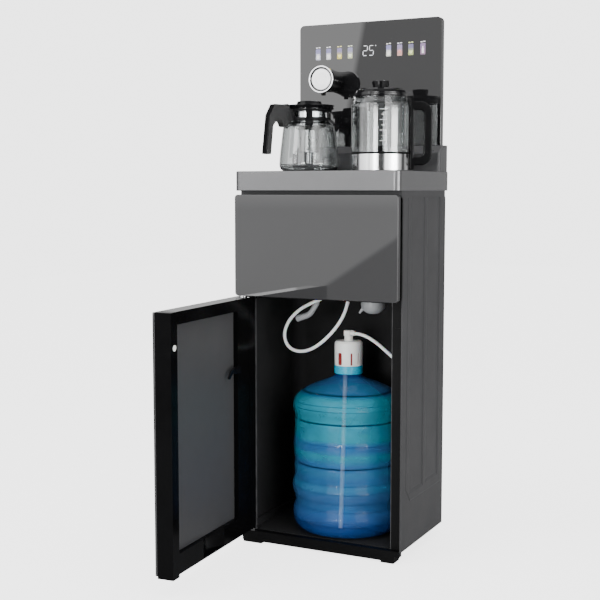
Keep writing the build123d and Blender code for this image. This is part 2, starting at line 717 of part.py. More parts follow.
with BuildPart() as door_frame:
    with BuildSketch(DOORT(25)):
        rect(DOOR_S0, STILE_S, DOOR_Z0, DOOR_Z1)
    extrude(amount=36)
    # recess for the bottle's bulge on the inner side
    with BuildSketch(DOORT(25)):
        rect(POCKET_S0, POCKET_S1, POCKET_Z0, POCKET_Z1, 3)
    extrude(amount=25 - POCKET_T, mode=Mode.SUBTRACT)
    # hollow behind the glass, all round the recess
    with BuildSketch(DOORT(22)):
        rect(9, STILE_S - 2, POCKET_Z0, DOOR_Z1 - 3)
        rect(POCKET_S0 - 3, STILE_S + 5, POCKET_Z0 - 3, POCKET_Z1 + 3, 0, Mode.SUBTRACT)
    extrude(amount=40, mode=Mode.SUBTRACT)
    with BuildSketch(DOORT(11)):
        rect(9, STILE_S - 2, DOOR_Z0 + 3, POCKET_Z0 + 1)
    extrude(amount=40, mode=Mode.SUBTRACT)
    # scoop in the bottom rail that clears the foot of the bottle when the door is shut
    with BuildSketch(DOORZ(DOOR_Z0 + 3.5)):
        with Locations((BOT_X - PIN_X, BOT_Y - PIN_Y)):
            Circle(136.6)
    extrude(amount=POCKET_Z0 - DOOR_Z0 - 2.5, mode=Mode.SUBTRACT)
    with BuildSketch(DOORT(POCKET_T - 3)):
        rect(POCKET_S0 - 4, STILE_S - 2, POCKET_Z0 - 4, POCKET_Z1 + 4)
    extrude(amount=40, mode=Mode.SUBTRACT)
    # moulded groove that runs down the hinge side
    with BuildSketch(DOORT(25)):
        rect(19, 21.5, DOOR_Z0 + 8, DOOR_Z1 - 8)
    extrude(amount=1.2, mode=Mode.SUBTRACT)
    # bores for the two hinge pins
    with BuildSketch(DOORZ(DOOR_Z0 - 1)):
        Circle(PIN_R + 0.05)
    extrude(amount=17, mode=Mode.SUBTRACT)
    with BuildSketch(DOORZ(DOOR_Z1 + 1)):
        Circle(PIN_R + 0.05)
    extrude(amount=-17, mode=Mode.SUBTRACT)

with BuildPart() as door_inner_panel:
    with BuildSketch(DOORT(POCKET_T + 2)):
        rect(POCKET_S0 + 0.3, POCKET_S1 - 0.3, POCKET_Z0 + 0.3, POCKET_Z1 - 0.3, 2.6)
    extrude(amount=2)

with BuildPart() as door_edge_grip:
    with BuildSketch(DOORT(27.5)):
        rect(STILE_S, DOOR_S1, 35.5, DOOR_Z1)
    extrude(amount=38.5)
    soften(door_edge_grip.edges().filter_by(Axis.Z).group_by(Axis.Y)[0], 1.5)
    with BuildSketch(DOORT(30)):
        with Locations((PLUG_S, PLUG_Z)):
            Circle(5.2)
    extrude(amount=9.5, mode=Mode.SUBTRACT)

with BuildPart() as door_magnet:
    with BuildSketch(DOORT(20.6)):
        with Locations((PLUG_S, PLUG_Z)):
            Circle(5.1)
    extrude(amount=-6.9)
    with BuildSketch(DOORT(27.5)):
        with Locations((PLUG_S, PLUG_Z)):
            Circle(6.6)
    extrude(amount=-0.4)

with BuildPart() as door_hook:
    with BuildSketch(DOORT(29)):
        poly((72, 445), (98, 445.5), (114, 441.5), (126, 434), (133, 427), (133.4, 422), (129, 420.4), (125, 423.6),
             (119, 430), (110, 431.8), (98, 429), (72, 428))
    extrude(amount=4)
    soften(door_hook.edges().filter_by(lambda e: abs((e @ 0).Z - (e @ 1).Z) < 0.1 and e.length < 5), 1.2)

# ===========================================================================
# Teapot
# ===========================================================================
TR = POTR(TEA_X, TEA_Y, TEA_ANGLE)
TEA_Z0 = 891.6
with BuildPart() as teapot_glass:
    with BuildSketch(TR):
        with BuildLine():
            Polyline((0, TEA_Z0), (57, TEA_Z0))
            Spline((57, TEA_Z0), (66, 895.5), (71.4, 904), (71.9, 914), (70.6, 932), (67.8, 956), (63.6, 992),
                   (61.6, 1001), (55.5, 1007.5), (47.5, 1011), (44, 1014.5), (43.8, 1020))
            Polyline((43.8, 1020), (43.8, 1039.8), (41.2, 1039.8), (41.2, 1019.5))
            Spline((41.2, 1019.5), (41.6, 1013), (46, 1008), (53.8, 1004.7), (59, 999), (60.8, 991.6),
                   (65.2, 955.6), (68, 931.6), (69.2, 914), (68.6, 905), (64, 898.6), (56, 895.2))
            Polyline((56, 895.2), (0, 894.6), (0, TEA_Z0))
        make_face()
    revolve(axis=ZAX(TEA_X, TEA_Y))

with BuildPart() as teapot_handle:
    # clamp: lower and upper rings joined by four posts
    with BuildSketch(TR):
        poly((44.4, 1016), (48, 1012.6), (52.6, 1012.4), (53.2, 1016), (52.6, 1020.5), (44.4, 1020.5))
        poly((44.2, 1034.4), (54.2, 1034.4), (55.4, 1040.4), (44.2, 1040.4))
    revolve(axis=ZAX(TEA_X, TEA_Y))
    for a in (56, -56, 124, -124):
        with BuildSketch(POTZ(TEA_X, TEA_Y, TEA_ANGLE + a, 1020)):
            rect(49.6, 53.4, -8.2, 8.2, 1.5)
        extrude(amount=15)
        with BuildSketch(POTR(TEA_X, TEA_Y, TEA_ANGLE + a)):
            poly((50.4, 1014), (50.4, 1012.2), (57, 1009.8), (62.6, 1004.6), (64.2, 1000), (66.4, 1000), (65.6, 1006), (58, 1013.4), (53, 1016))
        extrude(amount=9.5, both=True)
    # arm and open grip
    with BuildSketch(TR) as grip:
        poly((49.6, 1014), (49.6, 1040.4), (62.4, 1040.4), (62.6, 1048), (68, 1051.4), (84, 1049.4), (104, 1049.8),
             (119.5, 1021), (128.2, 941), (127, 933), (115, 932), (113.2, 941), (107.4, 1001), (100, 1010.6),
             (90, 1013), (84, 1007), (80, 998), (73.6, 996.6), (68.6, 1000), (60, 1010))
    extrude(amount=11, both=True)
    soften(teapot_handle.edges().filter_by(lambda e: e.length > 38 and abs((e @ 0).Z - (e @ 1).Z) > 25), 3.2)

with BuildPart() as teapot_infuser:
    with BuildSketch(TR):
        poly((41.4, 1040.0), (43.8, 1040.0), (43.8, 1041.0), (39.6, 1041.0), (39.6, 1003), (23.2, 992), (23.2, 938.8),
             (0, 938.8), (0, 911.5), (10.6, 911.5), (10.6, 938), (24, 938), (24, 991.4), (40.4, 1002.4), (40.4, 1040.0))
    revolve(axis=ZAX(TEA_X, TEA_Y))

with BuildPart() as teapot_lid:
    with BuildSketch(TR):
        poly((0, 1041.2), (54.6, 1041.2), (60.8, 1049.2), (60.6, 1050.2), (57, 1050.0), (50, 1047.6), (32, 1048.6),
             (31.6, 1051), (28.6, 1059.6), (27.6, 1060), (0, 1060.4))
    revolve(axis=ZAX(TEA_X, TEA_Y))
    with BuildSketch(TR):
        poly((0, 1034), (38.8, 1034), (38.8, 1041.3), (0, 1041.3))
    revolve(axis=ZAX(TEA_X, TEA_Y))
    with BuildSketch(POTZ(TEA_X, TEA_Y, TEA_ANGLE, 1043.2)):
        poly((-50, -15), (-70, -3.5), (-70, 3.5), (-50, 15))
    extrude(amount=4)

# ===========================================================================
# Kettle
# ===========================================================================
KR = POTR(KET_X, KET_Y, KET_ANGLE)
with BuildPart() as kettle_band:
    with BuildSketch(KR):
        poly((15.5, 892.4), (67.4, 892.4), (68.6, 893.8), (68.6, 935.8), (66.2, 935.8), (66.2, 934.6), (65.4, 933.4),
             (0, 933.4), (0, 930.6), (66.2, 930.6), (66.2, 896.2), (17.5, 896.2), (17.5, 903.4), (0, 903.4), (0, 901.2),
             (15.5, 901.2))
    revolve(axis=ZAX(KET_X, KET_Y))

with BuildPart() as kettle_glass:
    with BuildSketch(KR):
        with BuildLine():
            Polyline((66.4, 936), (68.8, 936), (68.8, 1040))
            Spline((68.8, 1040), (68.0, 1048), (64.6, 1056), (61.6, 1062), (61.2, 1069.8), tangents=((0, 1), (0, 1)))
            Polyline((61.2, 1069.8), (58.8, 1069.8))
            Spline((58.8, 1069.8), (59.2, 1061.4), (62.2, 1055), (65.6, 1047.4), (66.4, 1040), tangents=((0, -1), (0, -1)))
            Line((66.4, 1040), (66.4, 936))
        make_face()
    revolve(axis=ZAX(KET_X, KET_Y))
    # pouring lip opposite the handle
    with BuildSketch(POTZ(KET_X, KET_Y, KET_ANGLE, 1069.8)):
        poly((-58.9, -13), (-73.6, -4), (-73.6, 4), (-58.9, 13))
    extrude(amount=-9, taper=32)

with BuildPart() as kettle_valve:
    with BuildSketch(KR):
        poly((0, 933.4), (8, 933.4), (8, 936), (6.2, 937), (6.2, 949), (5, 950.5), (0, 950.5))
    revolve(axis=ZAX(KET_X, KET_Y))

with BuildPart() as kettle_handle:
    with BuildSketch(KR) as d_shape:
        rect(66, 77.8, 896, 1060.5, 2)
        rect(62, 120.4, 905.5, 1054, 26.5)
        rect(66, 90, 905.5, 1054)
        rect(76, 101, 924.5, 1034, 11, Mode.SUBTRACT)
        rect(77.8, 88, 924.5, 1034, 0, Mode.SUBTRACT)
        rect(66, 77.8, 896, 1060.5, 2)
    extrude(amount=11, both=True)
    with BuildSketch(POTZ(KET_X, KET_Y, KET_ANGLE, 890)):
        Circle(69.0)
    extrude(amount=190, mode=Mode.SUBTRACT)
    soften(kettle_handle.faces().filter_by(GeomType.PLANE).sort_by(
        lambda f: -f.area)[0:2].edges().filter_by(lambda e: e.length > 12), 3.0)
    # strap round the neck
    with BuildSketch(POTZ(KET_X, KET_Y, KET_ANGLE, 1058.5)):
        Circle(70.5)
        Circle(68.9, mode=Mode.SUBTRACT)
        rect(-80, 60, -80, 80, 0, Mode.SUBTRACT)
    extrude(amount=2)

with BuildPart() as kettle_lid:
    with BuildSketch(KR):
        poly((0, 1062), (57.8, 1062), (57.8, 1070.1), (60.6, 1070.1), (60.6, 1073), (58.6, 1078), (55.5, 1079.4),
             (52.5, 1079.6), (52, 1082.4), (50.5, 1083), (20, 1083.6), (0, 1083.6))
    revolve(axis=ZAX(KET_X, KET_Y))

with BuildPart() as kettle_knob:
    with BuildSketch(KR):
        poly((0, 1083.6), (17, 1083.6), (17.8, 1085), (20.8, 1099.6), (19.8, 1101.2), (17, 1101.6), (16, 1100.2), (0, 1100.4))
    revolve(axis=ZAX(KET_X, KET_Y))

# ===========================================================================
# Labels and files
# ===========================================================================
NODES = dict(
    base_plinth=base_plinth, feet=feet, left_side_panel=left_side_panel, right_side_panel=right_side_panel,
    back_panel=back_panel, front_frame=front_frame, compartment_liner=compartment_liner,
    compartment_ceiling=compartment_ceiling, front_panel_housing=front_panel_housing,
    front_glass_panel=front_glass_panel, top_collar=top_collar, tray_frame=tray_frame, tray_deck=tray_deck,
    warming_plate=warming_plate, kettle_base=kettle_base, console_cover=console_cover,
    control_housing=control_housing, control_back_cover=control_back_cover, control_glass=control_glass, display_board=display_board,
    spout_barrel=spout_barrel, spout_ring=spout_ring, spout_disc=spout_disc, spout_nozzle=spout_nozzle,
    hose_loop=hose_loop, bottle_hose=bottle_hose, ceiling_fittings=ceiling_fittings,
    drain_spout=drain_spout, drain_cup=drain_cup, bottle=bottle, bottle_cap=bottle_cap, cap_ring=cap_ring,
    hose_elbow=hose_elbow, dip_tube=dip_tube, upper_hinge_bracket=upper_hinge_bracket,
    lower_hinge_bracket=lower_hinge_bracket, catch_plate=catch_plate,
    rear_drain_cap=rear_drain_cap, cord_gland=cord_gland, switch_housing=switch_housing,
    power_rocker=power_rocker, screws=screws, door_glass=door_glass, door_frame=door_frame,
    door_inner_panel=door_inner_panel, door_edge_grip=door_edge_grip, door_magnet=door_magnet,
    door_hook=door_hook, teapot_glass=teapot_glass, teapot_handle=teapot_handle,
    teapot_infuser=teapot_infuser, teapot_lid=teapot_lid, kettle_band=kettle_band,
    kettle_glass=kettle_glass, kettle_valve=kettle_valve, kettle_handle=kettle_handle,
    kettle_lid=kettle_lid, kettle_knob=kettle_knob)

os.makedirs("parts", exist_ok=True)
lo, hi = [1e9] * 3, [-1e9] * 3
for node, builder in NODES.items():
    builder.part.label = node
    export_step(builder.part, f"parts/{node}.step")
    bb = builder.part.bounding_box()
    lo = [min(a, b) for a, b in zip(lo, bb.min)]
    hi = [max(a, b) for a, b in zip(hi, bb.max)]
print("nodes", len(NODES), "low", [round(v, 2) for v in lo], "high", [round(v, 2) for v in hi],
      "centre", [round((a + b) / 2, 3) for a, b in zip(lo, hi)])
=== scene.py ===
import bpy, bmesh, json, math
from mathutils import Vector, Matrix


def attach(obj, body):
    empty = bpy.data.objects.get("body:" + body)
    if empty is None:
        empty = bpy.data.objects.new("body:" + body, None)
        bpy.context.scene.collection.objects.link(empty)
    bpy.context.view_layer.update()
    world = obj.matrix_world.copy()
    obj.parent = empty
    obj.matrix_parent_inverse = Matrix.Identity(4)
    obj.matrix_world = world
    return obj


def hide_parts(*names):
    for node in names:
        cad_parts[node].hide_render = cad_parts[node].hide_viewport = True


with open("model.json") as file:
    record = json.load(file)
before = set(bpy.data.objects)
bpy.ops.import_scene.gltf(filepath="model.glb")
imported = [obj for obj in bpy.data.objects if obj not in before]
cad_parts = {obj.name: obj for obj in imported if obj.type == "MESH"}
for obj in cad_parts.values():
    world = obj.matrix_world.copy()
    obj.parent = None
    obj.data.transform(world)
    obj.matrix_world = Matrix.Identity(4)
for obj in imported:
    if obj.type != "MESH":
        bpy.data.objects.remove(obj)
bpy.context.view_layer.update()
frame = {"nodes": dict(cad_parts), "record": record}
NODES = frame["nodes"]

# ---------------------------------------------------------------------------
# Millimetres from the front centre of the cabinet, as in the construction
# ---------------------------------------------------------------------------
XC, YF = 0.74, 23.06
SCENE = bpy.context.scene.collection
rad = math.radians


def W(x, y, z):
    return Vector(((XC + x) / 1000, (YF + y) / 1000, z / 1000))


# ---- camera ---------------------------------------------------------------
YAW, PITCH = rad(26.46), rad(5.54)
cam_data = bpy.data.cameras.new("photo_camera")
cam_data.sensor_width = 36.0
cam_data.lens = 1144.2 / 600 * 36.0
cam_data.clip_end = 200
cam = bpy.data.objects.new("photo_camera", cam_data)
cam.location = W(1127.4, -2333.7, 850.0)
look = Vector((-math.sin(YAW) * math.cos(PITCH), math.cos(YAW) * math.cos(PITCH), -math.sin(PITCH)))
cam.rotation_euler = look.to_track_quat("-Z", "Y").to_euler()
SCENE.objects.link(cam)
bpy.context.scene.camera = cam


# ---------------------------------------------------------------------------
# Materials
# ---------------------------------------------------------------------------
class Tree:
    """short hand for building node trees"""

    def __init__(self, tree):
        self.t = tree
        self.t.nodes.clear()

    def n(self, kind, **props):
        node = self.t.nodes.new(kind)
        for k, v in props.items():
            setattr(node, k, v)
        return node

    def link(self, a, b):
        self.t.links.new(a, b)

    def put(self, value, socket):
        if isinstance(value, bpy.types.NodeSocket):
            self.link(value, socket)
        else:
            socket.default_value = value

    def math(self, op, a, b=0.0, c=0.0, clamp=False):
        node = self.n("ShaderNodeMath", operation=op, use_clamp=clamp)
        for i, v in enumerate((a, b, c)):
            self.put(v, node.inputs[i])
        return node.outputs[0]

    def remap(self, v, a, b, c, d, kind="LINEAR"):
        node = self.n("ShaderNodeMapRange", interpolation_type=kind, clamp=True)
        for i, x in enumerate((v, a, b, c, d)):
            self.put(x, node.inputs[i])
        return node.outputs[0]

    def mix(self, fac, a, b, blend="MIX"):
        node = self.n("ShaderNodeMix", data_type="RGBA", blend_type=blend)
        self.put(fac, node.inputs[0])
        self.put(a if not isinstance(a, tuple) else (*a, 1)[:4], node.inputs[6])
        self.put(b if not isinstance(b, tuple) else (*b, 1)[:4], node.inputs[7])
        return node.outputs[2]

    def noise(self, vec, scale, detail=3.0, rough=0.55):
        node = self.n("ShaderNodeTexNoise")
        self.link(vec, node.inputs["Vector"])
        node.inputs["Scale"].default_value = scale
        node.inputs["Detail"].default_value = detail
        node.inputs["Roughness"].default_value = rough
        return node.outputs["Fac"]


def material(name, color, rough=0.5, metal=0.0, var=0.10, vscale=14.0, rvar=0.06, bump=0.08, bscale=900.0,
             stretch=(1, 1, 1), coat=0.0, coat_rough=0.04, spec=0.5, ior=1.5, transmission=0.0, alpha=1.0,
             edge=0.0, edge_color=None, bevel=0.0008, dust=0.0, paint=None, sss=0.0, height=None, scuff=0.0):
    """painted, moulded, brushed or clear surface with uneven tone and gloss, fine relief and softly lit edges"""
    m = bpy.data.materials.new(name)
    m.use_nodes = True
    t = Tree(m.node_tree)
    out = t.n("ShaderNodeOutputMaterial")
    p = t.n("ShaderNodeBsdfPrincipled")
    t.link(p.outputs[0], out.inputs[0])
    tc = t.n("ShaderNodeTexCoord").outputs["Object"]
    mp = t.n("ShaderNodeMapping")
    t.link(tc, mp.inputs["Vector"])
    mp.inputs["Scale"].default_value = stretch
    vec = mp.outputs[0]
    tone = t.noise(vec, vscale, 4.0)
    lo = tuple(max(0.0, c * (1 - var)) for c in color)
    hi = tuple(min(1.0, c * (1 + var)) for c in color)
    col = t.mix(t.remap(tone, 0.3, 0.7, 0.0, 1.0), lo, hi)
    if paint:
        col = paint(t, tc, col)
    normal = None
    if bevel:
        bv = t.n("ShaderNodeBevel", samples=4)
        bv.inputs["Radius"].default_value = bevel
        normal = bv.outputs[0]
        if edge:
            geo = t.n("ShaderNodeNewGeometry")
            dot = t.n("ShaderNodeVectorMath", operation="DOT_PRODUCT")
            t.link(bv.outputs[0], dot.inputs[0])
            t.link(geo.outputs["Normal"], dot.inputs[1])
            worn = t.remap(dot.outputs["Value"], 0.995, 0.86, 0.0, 1.0)
            worn = t.math("MULTIPLY", worn, t.remap(t.noise(tc, 160.0, 5.0), 0.42, 0.62, 0.25, 1.0))
            worn = t.math("MULTIPLY", worn, edge)
            col = t.mix(worn, col, tuple(edge_color or [min(1.0, c * 2.2 + 0.02) for c in color]))
    if dust:
        geo2 = t.n("ShaderNodeNewGeometry")
        sep = t.n("ShaderNodeSeparateXYZ")
        t.link(geo2.outputs["Normal"], sep.inputs[0])
        up = t.remap(sep.outputs[2], 0.5, 1.0, 0.0, dust)
        up = t.math("MULTIPLY", up, t.remap(t.noise(tc, 60.0, 6.0), 0.4, 0.75, 0.0, 1.0))
        col = t.mix(up, col, (0.42, 0.41, 0.39))
    if scuff:
        # faint rubbed patches, lighter in colour
        rub = t.math("MULTIPLY", t.remap(t.noise(tc, 9.0, 6.0, 0.7), 0.50, 0.72, 0.0, 1.0, "SMOOTHSTEP"), scuff)
        col = t.mix(rub, col, tuple(min(1.0, c * 1.8 + 0.004) for c in color))
    t.put(col, p.inputs["Base Color"])
    t.put(t.remap(t.noise(vec, vscale * 2.7, 5.0), 0.25, 0.75, max(0.0, rough - rvar), min(1.0, rough + rvar)),
          p.inputs["Roughness"])
    p.inputs["Metallic"].default_value = metal
    p.inputs["IOR"].default_value = ior
    p.inputs["Specular IOR Level"].default_value = spec
    p.inputs["Coat Weight"].default_value = coat
    p.inputs["Coat Roughness"].default_value = coat_rough
    p.inputs["Transmission Weight"].default_value = transmission
    p.inputs["Alpha"].default_value = alpha
    if sss:
        p.inputs["Subsurface Weight"].default_value = sss
        p.inputs["Subsurface Scale"].default_value = 0.01
    if bump:
        b = t.n("ShaderNodeBump")
        b.inputs["Strength"].default_value = bump
        b.inputs["Distance"].default_value = 0.0004
        t.link(height(t, tc) if height else t.noise(vec, bscale, 3.0), b.inputs["Height"])
        if normal is not None:
            t.link(normal, b.inputs["Normal"])
        normal = b.outputs[0]
    if normal is not None:
        t.link(normal, p.inputs["Normal"])
    return m


def glow(name, top, bottom, z0, z1, strength):
    """lit symbol: colour runs from bottom to top"""
    m = bpy.data.materials.new(name)
    m.use_nodes = True
    t = Tree(m.node_tree)
    out = t.n("ShaderNodeOutputMaterial")
    p = t.n("ShaderNodeBsdfPrincipled")
    t.link(p.outputs[0], out.inputs[0])
    tc = t.n("ShaderNodeTexCoord").outputs["Object"]
    sep = t.n("ShaderNodeSeparateXYZ")
    t.link(tc, sep.inputs[0])
    f = t.remap(sep.outputs[2], z0 / 1000, z1 / 1000, 0.0, 1.0, "SMOOTHSTEP")
    f = t.math("ADD", f, t.math("MULTIPLY", t.math("SUBTRACT", t.noise(tc, 220.0, 2.0), 0.5), 0.25), clamp=True)
    col = t.mix(f, tuple(bottom), tuple(top))
    t.put(col, p.inputs["Emission Color"])
    p.inputs["Emission Strength"].default_value = strength
    t.put(t.mix(f, tuple(c * 0.3 for c in bottom), tuple(c * 0.3 for c in top)), p.inputs["Base Color"])
    t.put(t.remap(t.noise(tc, 300.0), 0.3, 0.7, 0.2, 0.3), p.inputs["Roughness"])
    return m


def ticks_height(t, tc):
    """fine pebble of a moulded plastic"""
    v = t.n("ShaderNodeTexVoronoi")
    t.link(tc, v.inputs["Vector"])
    v.inputs["Scale"].default_value = 1400.0
    return v.outputs["Distance"]


M = {}
M["side_grey"] = material("m_side_grey", (0.040, 0.040, 0.0415), 0.38, var=0.05, vscale=5, rvar=0.05, bump=0.03,
                          bscale=1500, bevel=0, spec=0.10, scuff=0.10)
M["back_sheet"] = material("m_back_sheet", (0.040, 0.040, 0.042), 0.42, var=0.08, vscale=6, bump=0.08, bscale=1300,
                           bevel=0, spec=0.30, scuff=0.12)
M["black_plastic"] = material("m_black_plastic", (0.0034, 0.0034, 0.0036), 0.34, var=0.15, rvar=0.08, bump=0.03,
                              bevel=0, spec=0.06, height=ticks_height, scuff=0.10)
M["door_black"] = material("m_door_black", (0.0022, 0.0022, 0.0024), 0.18, var=0.15, rvar=0.05, bump=0.01,
                           bevel=0, spec=0.04, height=ticks_height, scuff=0.08)
M["gloss_black"] = material("m_gloss_black", (0.0035, 0.0035, 0.004), 0.16, var=0.10, rvar=0.04, bump=0.010,
                            bscale=500, bevel=0, spec=0.35, scuff=0.05)
M["liner_black"] = material("m_liner_black", (0.0210, 0.0210, 0.0216), 0.42, var=0.10, rvar=0.05, bump=0.01,
                            bscale=700, bevel=0, spec=0.03, scuff=0.04)
M["rubber"] = material("m_rubber", (0.0045, 0.0045, 0.0045), 0.7, var=0.2, bump=0.3, bscale=1600, spec=0.08, bevel=0)
M["dark_glass"] = material("m_dark_glass", (0.006, 0.006, 0.0065), 0.004, var=0.03, vscale=3, rvar=0.003, bump=0.0,
                           bscale=60, bevel=0, ior=1.62)
M["panel_glass"] = material("m_panel_glass", (0.026, 0.026, 0.027), 0.004, var=0.03, vscale=3, rvar=0.003, bump=0.0,
                            bscale=60, bevel=0, ior=1.62)
M["deck_glass"] = material("m_deck_glass", (0.016, 0.016, 0.017), 0.06, var=0.05, vscale=4, rvar=0.02, bump=0.004,
                           bscale=80, ior=1.55, bevel=0)
M["silver_trim"] = material("m_silver_trim", (0.118, 0.118, 0.121), 0.24, metal=0.65, var=0.03, vscale=20, rvar=0.03,
                            bump=0.004, bscale=900, bevel=0, scuff=0.04)
M["handle_black"] = material("m_handle_black", (0.0045, 0.0045, 0.0048), 0.24, var=0.12, rvar=0.06, bump=0.02, bevel=0,
                             spec=0.12, height=ticks_height, scuff=0.08)
M["console_grey"] = material("m_console_grey", (0.056, 0.056, 0.058), 0.30, var=0.05, vscale=12, rvar=0.04, bump=0.02,
                             bscale=1200, bevel=0, spec=0.20, scuff=0.06)
# glossier copy of the door black for the top edge, its lighter colour painted light
M["door_top"] = material("m_door_top", (0.010, 0.010, 0.0105), 0.06, var=0.15, vscale=18, rvar=0.02, bump=0.01, bevel=0,
                         spec=0.50, height=ticks_height, scuff=0.06)
M["bright_trim"] = material("m_bright_trim", (0.42, 0.42, 0.43), 0.24, metal=0.8, var=0.05, vscale=30, rvar=0.05,
                            bump=0.03, bscale=1600, bevel=0)
M["disc_metal"] = material("m_disc_metal", (0.90, 0.90, 0.91), 0.34, metal=0.35, var=0.02, vscale=30, rvar=0.04,
                           bump=0.006, bscale=900, bevel=0)
M["chrome"] = material("m_chrome", (0.80, 0.80, 0.82), 0.06, metal=1.0, var=0.03, rvar=0.02, bump=0.008, bscale=300,
                       bevel=0)
M["steel"] = material("m_steel", (0.66, 0.66, 0.67), 0.16, metal=1.0, var=0.06, vscale=60, rvar=0.04, bump=0.04,
                      bscale=420, stretch=(1, 1, 14), bevel=0)


def infuser_painted_shade(t, tc, col):
    """painted shade: bright where the collar shows it, painted duller and darker where it hangs in the pot"""
    sep = t.n("ShaderNodeSeparateXYZ")
    t.link(tc, sep.inputs[0])
    low = t.remap(sep.outputs[2], 1.0185, 1.0205, 1.0, 0.0)
    return t.mix(t.math("MULTIPLY", low, 0.92), col, (0.16, 0.16, 0.165))


# the infuser frame is painted darker below its collar as painted shade
M["infuser_steel"] = material("m_infuser_steel", (0.66, 0.66, 0.67), 0.20, metal=0.9, var=0.06, vscale=60, rvar=0.04,
                              bump=0.03, bscale=420, stretch=(1, 1, 14), bevel=0, paint=infuser_painted_shade)
M["hose_white"] = material("m_hose_white", (0.86, 0.87, 0.87), 0.26, var=0.04, vscale=60, rvar=0.05, bump=0.04,
                           bscale=900, sss=0.25, bevel=0)
M["white_plastic"] = material("m_white_plastic", (0.86, 0.85, 0.82), 0.24, var=0.03, vscale=40, rvar=0.05, bump=0.03,
                              bscale=900, bevel=0, sss=0.1)
M["grey_plastic"] = material("m_grey_plastic", (0.30, 0.31, 0.32), 0.34, var=0.08, vscale=50, rvar=0.06, bump=0.08,
                             bscale=900, bevel=0)
M["grey_insert"] = material("m_grey_insert", (0.040, 0.040, 0.0415), 0.44, var=0.05, vscale=4, rvar=0.05, bump=0.12,
                            bscale=2200, bevel=0, spec=0.3)
M["cyan_plastic"] = material("m_cyan_plastic", (0.012, 0.40, 0.60), 0.28, var=0.10, vscale=60, rvar=0.06, bump=0.04,
                             bevel=0, sss=0.1)
M["red_seal"] = material("m_red_seal", (0.20, 0.008, 0.008), 0.5, var=0.15, vscale=80, bump=0.1, bevel=0)
M["clear_glass"] = material("m_clear_glass", (0.93, 0.95, 0.95), 0.010, var=0.01, rvar=0.006, bump=0.002, bscale=40,
                            transmission=1.0, ior=1.50, bevel=0)
M["display"] = material("m_display", (0.35, 0.36, 0.42), 0.3, var=0.1, vscale=80, bump=0.05, bevel=0)
M["tube_clear"] = material("m_tube_clear", (0.62, 0.70, 0.76), 0.25, var=0.06, vscale=60, rvar=0.05, bump=0.03,
                           bevel=0, sss=0.2)


def z_ramp(stops, wob=0.006, scale=7.0):
    """painted light and shade: tones that change with height, with a little waviness"""

    def paint(t, tc, col):
        sep = t.n("ShaderNodeSeparateXYZ")
        t.link(tc, sep.inputs[0])
        nz = t.math("MULTIPLY", t.math("SUBTRACT", t.noise(tc, scale, 3.0), 0.5), 2 * wob)
        z = t.math("ADD", sep.outputs[2], nz)
        ramp = t.n("ShaderNodeValToRGB")
        el = ramp.color_ramp.elements
        while len(el) > 1:
            el.remove(el[-1])
        for i, (zz, c) in enumerate(stops):
            e = el[0] if i == 0 else el.new(zz / 450)
            e.position = zz / 450
            e.color = (*c, 1)
        t.link(t.math("MULTIPLY", z, 1 / 0.45), ramp.inputs[0])
        return t.mix(1.0, col, ramp.outputs[0], "MULTIPLY")

    return paint


def painted_groove_shade(levels, width, dark, strength=1.0):
    """painted shade: darker lines round a turned body at the given heights, standing in for the shade of its grooves"""

    def paint(t, tc, col):
        sep = t.n("ShaderNodeSeparateXYZ")
        t.link(tc, sep.inputs[0])
        z = sep.outputs[2]
        wob = t.math("MULTIPLY", t.math("SUBTRACT", t.noise(tc, 6.0, 2.0), 0.5), 0.006)
        z = t.math("ADD", z, wob)
        for lv, w in zip(levels, width):
            d = t.math("ABSOLUTE", t.math("SUBTRACT", z, lv / 1000))
            f = t.remap(d, 0.25 * w / 1000, w / 1000, strength, 0.0, "SMOOTHSTEP")
            col = t.mix(f, col, dark)
        return col

    return paint


# painted light and shade on the blue bottle: teal and pale bands where it seems to glow, deep blue where it falls dark
DEEP_PAINTED_SHADE, BLUE, TEAL_PAINTED_GLOW, MID_PAINTED_LIGHT = (0.10, 0.18, 0.44), (0.40, 0.52, 0.80), (0.30, 1.00, 0.86), (0.46, 0.72, 0.86)
SHELL_PAINTED_LIGHT = [(26, DEEP_PAINTED_SHADE), (60, (0.14, 0.22, 0.52)), (78, (0.40, 0.42, 0.74)), (104, BLUE), (132, (0.46, 0.48, 0.72)),
               (150, MID_PAINTED_LIGHT), (168, BLUE), (186, MID_PAINTED_LIGHT), (196, (0.34, 0.46, 0.70)), (206, BLUE), (218, (0.34, 0.84, 0.82)),
               (228, TEAL_PAINTED_GLOW), (240, BLUE), (254, BLUE), (264, TEAL_PAINTED_GLOW), (330, TEAL_PAINTED_GLOW), (360, TEAL_PAINTED_GLOW), (368, (0.24, 0.34, 0.62)),
               (376, (0.42, 0.50, 0.72)), (396, (0.34, 0.44, 0.70)), (402, (0.10, 0.16, 0.42)), (420, (0.08, 0.14, 0.36))]


# painted light and shade on the bottle shell: the height ramp, then painted groove shade lines
def bottle_painted_light_and_shade(t, tc, col):
    col = z_ramp(SHELL_PAINTED_LIGHT)(t, tc, col)
    # painted groove shade: fainter lines first, then the darkest at the three cut grooves
    col = painted_groove_shade([334, 346, 252, 160, 140, 116, 96, 62], [1.3, 1.3, 1.8, 1.6, 2.0, 1.4, 1.6, 2.2],
                (0.004, 0.020, 0.09), 0.62)(t, tc, col)
    return painted_groove_shade([303, 199, 369], [2.8, 2.6, 2.4], (0.0004, 0.004, 0.024))(t, tc, col)


M["bottle_shell"] = material("m_bottle_shell", (0.085, 0.27, 0.44), 0.10, var=0.20, vscale=16, rvar=0.05, bump=0.05,
                             bscale=60, alpha=0.62, spec=0.18, bevel=0, paint=bottle_painted_light_and_shade)
